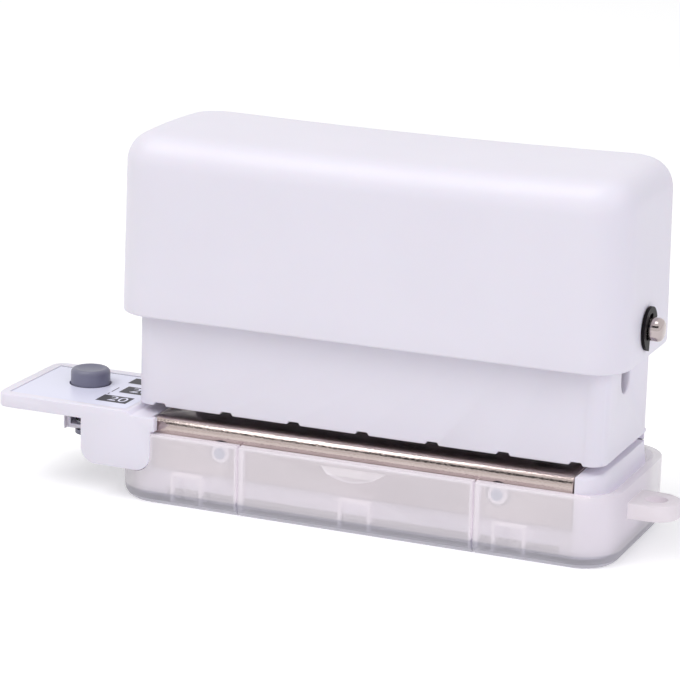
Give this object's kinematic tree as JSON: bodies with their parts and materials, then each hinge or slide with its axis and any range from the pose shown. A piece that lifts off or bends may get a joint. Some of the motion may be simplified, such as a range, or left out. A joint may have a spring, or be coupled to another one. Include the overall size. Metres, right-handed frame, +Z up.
{
  "type": "six_hole_punch",
  "caption": "White press-down loose-leaf hole punch with nickel die plate, frosted chip tray, lanyard eye and a side paper gauge with a sprung grey locating pin.",
  "frame": {"origin": "middle of the hole row, on the surface that the tray stands on", "axes": "+Z up, +X along the hole row to the right as seen by the user, +Y away from the user"},
  "size_m": [0.0915, 0.0272, 0.0486],
  "materials": {
    "white_abs": "satin moulded white ABS",
    "nickel_plate": "bright nickel-plated sheet steel",
    "nickel_steel": "nickel-plated turned steel",
    "black_steel": "blackened spring steel clip",
    "ground_steel": "ground tool steel",
    "spring_steel": "drawn spring wire",
    "zinc_screw": "zinc-plated screw",
    "frosted_pe": "frosted translucent polyethylene",
    "printed_label": "printed film label",
    "grey_plastic": "moulded grey plastic"
  },
  "bodies": {
    "base": {"base_frame": "white_abs", "housing": "white_abs", "guide_plate": "ground_steel", "die_plate": "nickel_plate", "housing_screws": "zinc_screw", "chip_tray": "frosted_pe", "paper_gauge": "white_abs", "gauge_label": "printed_label", "gauge_screws": "zinc_screw", "spring_1": "spring_steel", "spring_2": "spring_steel", "spring_3": "spring_steel", "spring_4": "spring_steel", "spring_5": "spring_steel", "spring_6": "spring_steel", "pin_spring": "spring_steel"},
    "press": {"press_cap": "white_abs", "press_shaft": "nickel_steel", "shaft_clips": "black_steel", "punch_1": "ground_steel", "punch_2": "ground_steel", "punch_3": "ground_steel", "punch_4": "ground_steel", "punch_5": "ground_steel", "punch_6": "ground_steel", "punch_rings": "black_steel"},
    "pin": {"locating_pin": "grey_plastic", "pin_clip": "grey_plastic"},
    "door": {"tray_door": "frosted_pe"}
  },
  "joints": [
    {"name": "press_stroke", "type": "slide", "parent": "base", "child": "press", "axis": [0, 0, -1], "range_m": [0, 0.0065], "stiffness_N_per_m": 1500, "springref_m": -0.004, "deforming": ["spring_1", "spring_2", "spring_3", "spring_4", "spring_5", "spring_6"]},
    {"name": "pin_press", "type": "slide", "parent": "base", "child": "pin", "axis": [0, 0, -1], "range_m": [0, 0.0021], "stiffness_N_per_m": 400, "springref_m": -0.001, "deforming": ["pin_spring"]},
    {"name": "door_swing", "type": "hinge", "parent": "base", "child": "door", "pos_m": [0, -0.0024, 0.0014], "axis": [1, 0, 0], "range_deg": [0, 85]}
  ]
}
